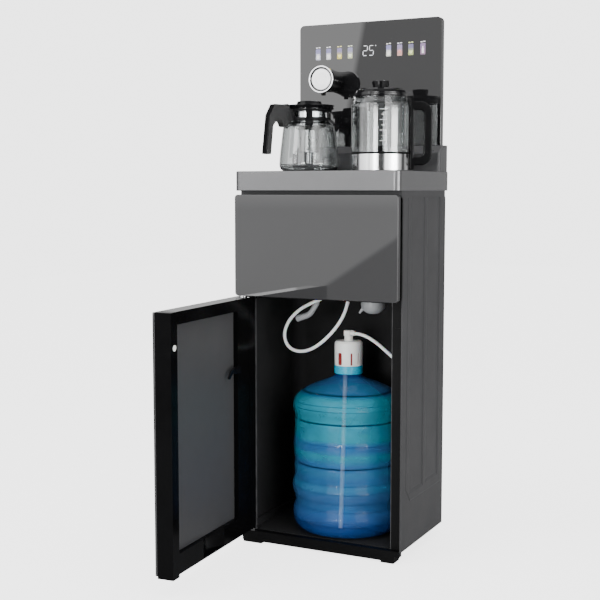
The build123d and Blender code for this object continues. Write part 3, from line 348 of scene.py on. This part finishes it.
# the water carries the same painted light and shade by height
M["bottle_water"] = material("m_bottle_water", (0.090, 0.33, 0.48), 0.40, spec=0.1, var=0.30, vscale=11, rvar=0.08,
                             bump=0.05, bscale=40, bevel=0, paint=z_ramp(SHELL_PAINTED_LIGHT, 0.014, 5.0))


def mesh_paint(t, tc, col):
    """woven screen: bright wires and dark holes"""
    v = t.n("ShaderNodeTexVoronoi", feature="F1", distance="CHEBYCHEV")
    v.inputs["Randomness"].default_value = 0.0
    t.link(tc, v.inputs["Vector"])
    v.inputs["Scale"].default_value = 620.0
    return t.mix(t.remap(v.outputs["Distance"], 0.30, 0.38, 0.85, 0.0), col, (0.03, 0.03, 0.03))


M["screen"] = material("m_screen", (0.36, 0.36, 0.36), 0.3, metal=0.9, var=0.08, bump=0.1, bevel=0, paint=mesh_paint)

def jamb_painted_highlight(t, tc, col):
    """painted highlight: a bright line along the inner edge of the opening"""
    sep = t.n("ShaderNodeSeparateXYZ")
    t.link(tc, sep.inputs[0])
    x = t.math("ABSOLUTE", t.math("SUBTRACT", sep.outputs[0], XC / 1000))
    f = t.remap(t.math("ABSOLUTE", t.math("SUBTRACT", x, 0.1749)), 0.0006, 0.0014, 1.0, 0.0)
    f = t.math("MULTIPLY", f, t.remap(t.noise(tc, 30.0, 3.0), 0.3, 0.6, 0.5, 1.0))
    return t.mix(f, col, (0.07, 0.07, 0.072))


# the opening's frame black, with a painted highlight along its inner edge
M["jamb_black"] = material("m_jamb_black", (0.0048, 0.0048, 0.005), 0.36, var=0.12, rvar=0.08, bump=0.03, bevel=0,
                           spec=0.06, height=ticks_height, scuff=0.10, paint=jamb_painted_highlight)

SLOT_OF = {s["node"]: s["material_slot"] for s in frame["record"]["subparts"]}
DRESS = {"blue_bottle": "bottle_shell"}
SPECIAL = {"door_frame": "door_black", "door_edge_grip": "door_black", "door_hook": "gloss_black",
           "spout_barrel": "gloss_black", "spout_disc": "disc_metal", "dip_tube": "tube_clear",
           "teapot_infuser": "infuser_steel", "teapot_handle": "handle_black", "kettle_handle": "handle_black",
           "front_glass_panel": "panel_glass", "door_glass": "panel_glass", "catch_plate": "jamb_black", "front_frame": "jamb_black", "front_panel_housing": "side_grey",
           "console_cover": "console_grey", "kettle_valve": "black_plastic"}
for node, obj in NODES.items():
    mat = M[SPECIAL.get(node, DRESS.get(SLOT_OF[node], SLOT_OF[node]))]
    obj.data.materials.clear()
    obj.data.materials.append(mat)
    if node == "door_frame":
        # the top edge is polished smooth and glossy, and its colour is painted a little lighter there as painted light
        obj.data.materials.append(M["door_top"])
        top = max(v.co.z for v in obj.data.vertices)
        for poly in obj.data.polygons:
            if poly.normal.z > 0.8 and poly.center.z > top - 0.002:
                poly.material_index = 1


# ---------------------------------------------------------------------------
# Piece builders
# ---------------------------------------------------------------------------
def piece(name, bm, mat, body, replaces=(), smooth=True, angle=35):
    me = bpy.data.meshes.new(name)
    bmesh.ops.remove_doubles(bm, verts=bm.verts, dist=1e-7)
    bmesh.ops.recalc_face_normals(bm, faces=bm.faces)
    bm.to_mesh(me)
    bm.free()
    if smooth:
        me.shade_smooth()
        me.set_sharp_from_angle(angle=rad(angle))
    ob = bpy.data.objects.new(name, me)
    SCENE.objects.link(ob)
    me.materials.append(mat)
    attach(ob, body)
    if replaces:
        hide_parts(*replaces)
    return ob


def lathe(bm, prof, cx, cy, n=96, a0=0.0, a1=360.0, closed=False):
    """turned body about a vertical axis from points (radius, z)"""
    full = abs(a1 - a0 - 360) < 1e-6
    cols = n if full else n + 1
    grid = []
    for i in range(cols):
        a = rad(a0 + (a1 - a0) * i / n)
        grid.append([bm.verts.new(W(cx + r * math.cos(a), cy + r * math.sin(a), z)) for r, z in prof])
    m = len(prof)
    for i in range(n):
        A, B = grid[i], grid[(i + 1) % cols]
        for j in range(m if closed else m - 1):
            k = (j + 1) % m
            quad = [A[j], B[j], B[k], A[k]]
            if prof[j][0] < 1e-6:
                quad = [A[j], B[k], A[k]]
            elif prof[k][0] < 1e-6:
                quad = [A[j], B[j], A[k]]
            try:
                bm.faces.new(quad)
            except ValueError:
                pass
    return grid


def lathe_y(bm, prof, cx, cz, n=96):
    """turned body about an axis along Y from points (y, radius)"""
    grid = []
    for i in range(n):
        a = rad(360 * i / n)
        grid.append([bm.verts.new(W(cx + r * math.cos(a), y, cz + r * math.sin(a))) for y, r in prof])
    for i in range(n):
        A, B = grid[i], grid[(i + 1) % n]
        for j in range(len(prof) - 1):
            if prof[j][1] < 1e-6:
                f = [A[j], B[j + 1], A[j + 1]]
            elif prof[j + 1][1] < 1e-6:
                f = [A[j], B[j], A[j + 1]]
            else:
                f = [A[j], B[j], B[j + 1], A[j + 1]]
            bm.faces.new(f)


def slab(bm, pts, origin, ux, uz, thick, bev=0.0):
    """flat outline in a plane, extruded against the plane's normal by thick (mm), its front edge eased"""
    nrm = ux.cross(uz).normalized()
    front = [bm.verts.new(origin + ux * (x / 1000) + uz * (z / 1000)) for x, z in pts]
    back = [bm.verts.new(v.co - nrm * (thick / 1000)) for v in front]
    f = bm.faces.new(front)
    bm.faces.new(list(reversed(back)))
    n = len(pts)
    for i in range(n):
        bm.faces.new([front[i], back[i], back[(i + 1) % n], front[(i + 1) % n]])
    if bev:
        bmesh.ops.bevel(bm, geom=[e for e in f.edges], offset=bev / 1000, segments=3, affect="EDGES", profile=0.6)


def rrect(x0, x1, z0, z1, r, n=5):
    pts = []
    for cx, cz, a in ((x1 - r, z1 - r, 0), (x0 + r, z1 - r, 90), (x0 + r, z0 + r, 180), (x1 - r, z0 + r, 270)):
        for i in range(n + 1):
            t = rad(a + 90 * i / n)
            pts.append((cx + r * math.cos(t), cz + r * math.sin(t)))
    return pts


def spline_pts(pts, k=8):
    """smooth points through a profile (centripetal enough for turned shapes)"""
    out = []
    P = [pts[0]] + list(pts) + [pts[-1]]
    for i in range(1, len(P) - 2):
        p0, p1, p2, p3 = P[i - 1], P[i], P[i + 1], P[i + 2]
        for j in range(k):
            t = j / k
            out.append(tuple(0.5 * ((2 * p1[d]) + (-p0[d] + p2[d]) * t + (2 * p0[d] - 5 * p1[d] + 4 * p2[d] - p3[d]) * t * t
                                    + (-p0[d] + 3 * p1[d] - 3 * p2[d] + p3[d]) * t ** 3) for d in range(2)))
    out.append(tuple(pts[-1]))
    return out


def nurbs(name, pts, d, mat):
    cu = bpy.data.curves.new(name, "CURVE")
    cu.dimensions = "3D"
    sp = cu.splines.new("NURBS")
    sp.points.add(len(pts) - 1)
    for p, c in zip(sp.points, pts):
        p.co = (*W(*c), 1.0)
    sp.order_u = 3
    sp.use_endpoint_u = True
    sp.resolution_u = 10
    cu.bevel_depth = d / 2000
    cu.bevel_resolution = 6
    cu.use_fill_caps = True
    ob = bpy.data.objects.new(name, cu)
    SCENE.objects.link(ob)
    cu.materials.append(mat)
    return ob


# ---------------------------------------------------------------------------
# Hoses
# ---------------------------------------------------------------------------
LOOP_POINTS = [(-8, 122, 634), (-8, 122, 612.5), (-26, 120, 593), (-60, 118.5, 580), (-96, 118, 561),
               (-125, 118, 532), (-138, 118.5, 498), (-127, 119.5, 468), (-98, 121, 457), (-62, 123, 466),
               (-28, 125.5, 492), (2, 128, 525), (22, 129.5, 560), (31, 130, 600), (31, 130, 634)]
BOTTLE_HOSE_POINTS = [(30.26, 166.5, 504.98), (50, 166.5, 503.8), (78, 167.2, 491), (104, 168.8, 472),
                      (128, 171.5, 451), (154, 177, 434), (180, 186, 446), (185.5, 192, 482),
                      (183, 196.5, 528), (168, 200, 590), (168, 200, 634)]
for nm, pts, ln in (("hose_loop", LOOP_POINTS, 0.4987), ("bottle_hose", BOTTLE_HOSE_POINTS, 0.3623)):
    h = nurbs(nm + "_soft", pts, 8.0, M["hose_white"])
    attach(h, "cabinet")
    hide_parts(nm)

# ---------------------------------------------------------------------------
# Bottle: shell with ribs and grooves, and the water seen through it
# ---------------------------------------------------------------------------
BX, BY = 13.5, 168.0
PROFILE = [(104, 29.8), (113, 32), (121, 37), (128, 46), (132, 58), (133.5, 70), (132, 83),
           (128.4, 93), (127.6, 104), (129.6, 114), (133.4, 124), (135, 137), (133.2, 149), (130.2, 158),
           (129.4, 168), (130, 180), (130.4, 190), (129.8, 199), (130.6, 208), (131.8, 222),
           (132.4, 236), (131.6, 250), (130.2, 262), (129.6, 276), (129.4, 290), (129.0, 303), (130.2, 314), (133.2, 326),
           (133.6, 337), (131, 347), (126.6, 354), (119.6, 361), (109, 369), (93, 377), (70, 386.4), (51, 393.4),
           (39.6, 399.2), (33.2, 404), (31, 408.4)]
outer = spline_pts(PROFILE, 6)


def groove(pts, level, depth, width):
    return [(r - depth * math.exp(-((z - level) / width) ** 2), z) for r, z in pts]


outer = groove(outer, 303, 1.8, 1.8)
outer = groove(outer, 199, 1.6, 1.8)
outer = groove(outer, 369, 1.3, 1.8)
outer = groove(outer, 101, 1.0, 1.6)
bm = bmesh.new()
lathe(bm, [(0, 31.6), (60, 31.6), (96, 31.2)] + outer + [(31, 440), (29, 440), (29, 409)], BX, BY, 144)
bottle = piece("bottle_shell", bm, M["bottle_shell"], "cabinet", ("bottle",))
bm = bmesh.new()
inner = [(max(r - 3.2, 0), z) for r, z in outer if 36 < z < 404]
lathe(bm, [(0, 34)] + inner, BX, BY, 96, a0=-18.0, a1=198.0)
bottle_water = piece("bottle_water", bm, M["bottle_water"], "cabinet")

# dark red seal seen through the slots of the cap
bm = bmesh.new()
lathe(bm, [(31.15, 428), (31.45, 428), (31.45, 479), (31.15, 479)], BX, BY, 64, closed=True)
piece("cap_seal", bm, M["red_seal"], "cabinet")

# ---------------------------------------------------------------------------
# Lit symbols and the number on the control glass
# ---------------------------------------------------------------------------
UX, UZ = Vector((1, 0, 0)), Vector((0, 0, 1))
GLASS = W(0, 311.86, 0)
LAV = (0.32, 0.30, 0.62)
ICONS = [(-138, LAV, (0.80, 0.82, 1.0), (0.95, 0.95, 1.0)), (-109, LAV, (0.95, 0.95, 1.0), (1.0, 1.0, 1.0)),
         (-79, (0.36, 0.30, 0.60), (0.95, 0.80, 0.12), (1.0, 0.92, 0.35)),
         (-50, (0.42, 0.40, 0.66), (0.80, 0.86, 0.50), (0.95, 1.0, 0.75)),
         (53, (0.34, 0.32, 0.66), (0.88, 0.90, 0.80), (1.0, 1.0, 0.92)),
         (82, (0.42, 0.34, 0.62), (0.95, 0.50, 0.42), (1.0, 0.22, 0.16)),
         (111, (0.26, 0.24, 0.46), (0.66, 0.78, 0.25), (0.85, 0.95, 0.40)),
         (142, (0.40, 0.26, 0.52), (0.42, 0.24, 0.40), (1.0, 0.95, 1.0))]
for i, (cx, top, low, sym) in enumerate(ICONS):
    bm = bmesh.new()
    slab(bm, rrect(cx - 6.4, cx + 6.4, 1173.5, 1200.5, 1.5), GLASS, UX, UZ, 0.08)
    piece(f"icon_{i}_field", bm, glow(f"m_icon_{i}", top, low, 1180, 1194, 0.42 if cx < 100 else 0.30), "cabinet",
          smooth=False)
    bm = bmesh.new()
    # two short caption strokes over each symbol
    slab(bm, rrect(cx - 6.2, cx - 0.8, 1202.6, 1205.0, 0.8), GLASS, UX, UZ, 0.08)
    slab(bm, rrect(cx + 0.8, cx + 6.0, 1203.2, 1205.6, 0.8), GLASS, UX, UZ, 0.08)
    front = GLASS + Vector((0, -0.00010, 0))
    if i in (0, 1, 4):      # cup
        slab(bm, [(cx - 4.2, 1185.5), (cx - 3.2, 1176.2), (cx + 3.0, 1176.2), (cx + 4.0, 1185.5)], front, UX, UZ, 0.08)
        slab(bm, rrect(cx - 4.6, cx + 4.6, 1187.0, 1188.2, 0.5), front, UX, UZ, 0.08)
    elif i in (2, 3, 6):    # bowl
        slab(bm, [(cx + 4.4 * math.cos(rad(a)), 1184.5 + 7.5 * math.sin(rad(a))) for a in range(180, 361, 15)],
             front, UX, UZ, 0.08)
    elif i == 5:            # spot
        slab(bm, [(cx + 3.6 * math.cos(rad(a)), 1184.5 + 3.6 * math.sin(rad(a))) for a in range(0, 360, 15)],
             front, UX, UZ, 0.08)
    else:                   # flask
        slab(bm, [(cx - 2.6, 1177), (cx + 2.6, 1177), (cx + 2.6, 1187), (cx + 1.2, 1190), (cx + 1.2, 1194),
                  (cx - 1.2, 1194), (cx - 1.2, 1190), (cx - 2.6, 1187)], front, UX, UZ, 0.08)
    piece(f"icon_{i}_mark", bm, glow(f"m_mark_{i}", sym if i != 5 else (0.9, 0.9, 1.0), sym, 1180, 1200, 0.95),
          "cabinet", smooth=False)

SEG = {"a": ((1.6, 24.6), (11.4, 24.6)), "b": ((12.4, 23.8), (11.9, 13.8)), "c": ((11.7, 11.8), (11.2, 1.8)),
       "d": ((0.6, 1.0), (10.2, 1.0)), "e": ((0.2, 1.8), (0.7, 11.8)), "f": ((0.9, 13.8), (1.4, 23.8)),
       "g": ((1.4, 12.8), (11.0, 12.8))}
bm = bmesh.new()
for x0, segs in ((-15.5, "abged"), (1.0, "afgcd")):
    for s in segs:
        (xa, za), (xb, zb) = SEG[s]
        d = Vector((xb - xa, zb - za)).normalized()
        nn = Vector((-d.y, d.x)) * 0.80
        a, b = Vector((xa, za)), Vector((xb, zb))
        pts = [a, a + d * 1.2 + nn, b - d * 1.2 + nn, b, b - d * 1.2 - nn, a + d * 1.2 - nn]
        slab(bm, [(x0 + p.x, 1177.4 + p.y) for p in reversed(pts)], GLASS, UX, UZ, 0.08)
ring_o = [(18.6 + 1.1 * math.cos(rad(a)), 1201.4 + 1.1 * math.sin(rad(a))) for a in range(0, 360, 20)]
slab(bm, ring_o, GLASS, UX, UZ, 0.08)
piece("temperature_number", bm, glow("m_number", (0.95, 0.97, 1.0), (0.90, 0.93, 1.0), 1177, 1203, 1.15), "cabinet",
      smooth=False)

# ---------------------------------------------------------------------------
# Kettle and teapot trim
# ---------------------------------------------------------------------------
KX, KY, KA = 87.5, 180.0, 24.0
TX, TY, TA = -98.0, 178.0, 240.0
bm = bmesh.new()
lathe(bm, [(59.0, 1064.4), (61.5, 1063.6), (62.0, 1065.0), (61.8, 1069.3), (61.2, 1070.0), (59.2, 1070.0)], KX, KY, 120)
piece("kettle_rim", bm, M["gloss_black"], "kettle")
bm = bmesh.new()
lathe(bm, [(66.6, 930.6), (68.75, 930.8), (68.8, 935.4), (68.4, 935.9), (66.6, 935.95)], KX, KY, 120)
piece("kettle_gasket", bm, M["rubber"], "kettle")
bm = bmesh.new()
lathe(bm, [(0, 1101.2), (12, 1101.2), (13.0, 1101.5), (14.0, 1101.3), (16.2, 1101.7), (18.4, 1101.7), (19.8, 1101.0),
           (20.4, 1099.2), (20.0, 1097.6)], KX, KY, 96)
piece("kettle_knob_cap", bm, M["chrome"], "kettle_cover")
# level marks on the kettle's glass
bm = bmesh.new()
for k, (z, half) in enumerate(((960, 3.5), (972, 2.0), (984, 3.5), (996, 2.0), (1008, 3.5), (1020, 2.0), (1032, 3.5))):
    for s in range(6):
        a0 = rad(-62 - half * 2.0 + half * 4.0 * s / 6)
        a1 = rad(-62 - half * 2.0 + half * 4.0 * (s + 1) / 6)
        q = [bm.verts.new(W(KX + 68.95 * math.cos(a), KY + 68.95 * math.sin(a), zz))
             for a, zz in ((a0, z), (a1, z), (a1, z + 0.9), (a0, z + 0.9))]
        bm.faces.new(q)
piece("kettle_level_marks", bm, M["white_plastic"], "kettle", smooth=False)

# infuser screen inside its frame: the visible basket
bm = bmesh.new()
lathe(bm, [(24.15, 940), (24.15, 991.2), (33, 997.4), (40.5, 1002.4)], TX, TY, 96)
piece("infuser_screen", bm, M["screen"], "teapot")

# dark sheet close behind the louvres of the back panel, put in as painted shade for the space inside the machine
bm = bmesh.new()
slab(bm, rrect(-124, 124, 676, 794, 4), W(0, 303.6, 0), Vector((1, 0, 0)), Vector((0, 0, 1)), 0.5)
piece("louvre_shade_sheet", bm, M["black_plastic"], "cabinet", smooth=False)

# ---------------------------------------------------------------------------
# Studio: pale floor, soft lights
# ---------------------------------------------------------------------------
bm = bmesh.new()
bmesh.ops.create_grid(bm, x_segments=24, y_segments=24, size=6.0)
for v in bm.verts:
    v.co.y = v.co.y + 4.2
me = bpy.data.meshes.new("studio_floor")
bm.to_mesh(me)
bm.free()
floor = bpy.data.objects.new("studio_floor", me)
SCENE.objects.link(floor)
fm = material("m_floor", (0.46, 0.46, 0.464), 0.55, var=0.015, vscale=0.6, rvar=0.05, bump=0.02, bscale=120, bevel=0)
fm_p = next(n for n in fm.node_tree.nodes if n.type == "BSDF_PRINCIPLED")
fm_p.inputs["Emission Color"].default_value = (1.0, 1.0, 1.0, 1.0)
seen = fm.node_tree.nodes.new("ShaderNodeLightPath")
seen_gain = fm.node_tree.nodes.new("ShaderNodeMath")
seen_gain.operation = "MULTIPLY"
seen_gain.inputs[1].default_value = 2.9
fm.node_tree.links.new(seen.outputs["Is Camera Ray"], seen_gain.inputs[0])
fm.node_tree.links.new(seen_gain.outputs[0], fm_p.inputs["Emission Strength"])
me.materials.append(fm)


def area(name, loc, aim, size, power, color=(1, 1, 1)):
    li = bpy.data.lights.new(name, "AREA")
    li.shape = "RECTANGLE"
    li.size, li.size_y = size
    li.energy = power
    li.color = color
    ob = bpy.data.objects.new(name, li)
    ob.location = Vector(loc)
    ob.rotation_euler = (Vector(aim) - Vector(loc)).to_track_quat("-Z", "Y").to_euler()
    SCENE.objects.link(ob)
    return ob


for lamp in (area("key_softbox", (-1.9, -2.4, 2.3), (0, 0, 0.6), (1.2, 1.6), 62),
             area("fill_softbox", (1.4, -0.45, 2.5), (0.15, 0.15, 0.9), (0.8, 0.8), 11),
             area("top_softbox", (0.2, -0.2, 3.1), (0, 0.1, 0.8), (2.0, 1.6), 42),
             area("low_front", (0.05, -2.8, 0.75), (0.02, 0.2, 0.35), (0.6, 0.8), 22)):
    lamp.visible_glossy = False

world = bpy.data.worlds.new("studio")
bpy.context.scene.world = world
world.use_nodes = True
t = Tree(world.node_tree)
wout = t.n("ShaderNodeOutputWorld")
d = t.n("ShaderNodeTexCoord").outputs["Generated"]
sep = t.n("ShaderNodeSeparateXYZ")
t.link(d, sep.inputs[0])
dx, dy, dz = sep.outputs
ndy = t.math("MULTIPLY", dy, -1.0)
safe = t.math("MAXIMUM", ndy, 0.05)
r = t.math("DIVIDE", t.math("MULTIPLY", dx, -1.0), safe)
e = t.math("DIVIDE", dz, safe)
front = t.math("GREATER_THAN", ndy, 0.15)
# a tall soft box to the front left, its right edge leaning and its lower edge slanted
edge_up = t.math("ADD", 0.4418, t.math("MULTIPLY", t.math("SUBTRACT", e, 0.102), -0.2))
upper = t.remap(t.math("SUBTRACT", r, edge_up), -0.003, 0.003, 0.0, 1.0)
edge_low = t.math("ADD", -0.045, t.math("MULTIPLY", t.math("SUBTRACT", r, 0.395), -0.644))
lower = t.remap(t.math("SUBTRACT", e, edge_low), -0.003, 0.003, 0.0, 1.0)
is_up = t.math("GREATER_THAN", e, 0.01)
card = t.math("ADD", t.math("MULTIPLY", is_up, upper), t.math("MULTIPLY", t.math("SUBTRACT", 1.0, is_up), lower))
for cond in (front, t.math("LESS_THAN", r, 2.2), t.math("GREATER_THAN", r, 0.20), t.math("LESS_THAN", e, 0.7),
             t.math("GREATER_THAN", e, -0.35)):
    card = t.math("MULTIPLY", card, cond)
card = t.math("MULTIPLY", card, t.remap(e, -0.02, 0.03, 1.15, 2.5))
# azimuth seen from above, 0 straight out of the front and growing to the right
az = t.math("ARCTAN2", dx, ndy)
card = t.math("MULTIPLY", card, t.remap(az, rad(-88), rad(-32), 0.08, 1.0))


def between(v, a, b, soft):
    return t.math("MULTIPLY", t.remap(v, a - soft, a + soft, 0.0, 1.0), t.remap(v, b - soft, b + soft, 1.0, 0.0))


def box(a0, a1, z0, z1, level, soft=1.0):
    zs = min(0.02, (z1 - z0) / 6)
    return t.math("MULTIPLY", t.math("MULTIPLY", between(az, rad(a0), rad(a1), rad(soft)), between(dz, z0, z1, zs)), level)


parts = [t.math("MULTIPLY", between(az, rad(-70), rad(-18.8), rad(0.4)), t.remap(e, -0.02, 0.03, 0.45, 1.42)),
         box(-18.8, 6.0, -0.35, 0.50, 4.5, 0.6),                      # bright panel nearest the camera side
         box(-5.0, 12.0, 0.028, 0.066, 34.0, 0.4),                    # strip lights
         box(66.0, 92.0, 0.028, 0.066, 34.0, 0.6),
         t.math("MULTIPLY", box(40.0, 115.0, -0.25, 0.60, 1.0, 2.0), t.remap(az, rad(50), rad(115), 4.5, 0.4)),
         t.math("MULTIPLY", t.math("MULTIPLY", between(r, 0.502, 0.66, 0.002), between(e, 0.08, 0.17, 0.004)),
                t.math("MULTIPLY", front, 6.0)),                      # tall strip to the left
         box(56.0, 92.0, -0.05, 0.028, 9.0, 0.6),
         box(132.0, 172.0, -0.12, 0.30, 0.55, 3.0),
         box(-176.0, -128.0, -0.02, 0.42, 0.70, 3.0),                 # pale wall behind
         t.remap(dz, 0.62, 0.95, 0.0, 1.4)]
lum = t.math("ADD", 0.06, card)
for part in parts:
    lum = t.math("ADD", lum, part)
bg = t.n("ShaderNodeBackground")
comb = t.n("ShaderNodeCombineXYZ")
for i in range(3):
    t.link(lum, comb.inputs[i])
t.link(comb.outputs[0], bg.inputs[0])
bg.inputs[1].default_value = 1.0
bg2 = t.n("ShaderNodeBackground")
bg2.inputs[0].default_value = (1.0, 1.0, 1.0, 1)
bg2.inputs[1].default_value = 3.4
lp = t.n("ShaderNodeLightPath")
mx = t.n("ShaderNodeMixShader")
t.link(lp.outputs["Is Camera Ray"], mx.inputs[0])
t.link(bg.outputs[0], mx.inputs[1])
t.link(bg2.outputs[0], mx.inputs[2])
t.link(mx.outputs[0], wout.inputs[0])
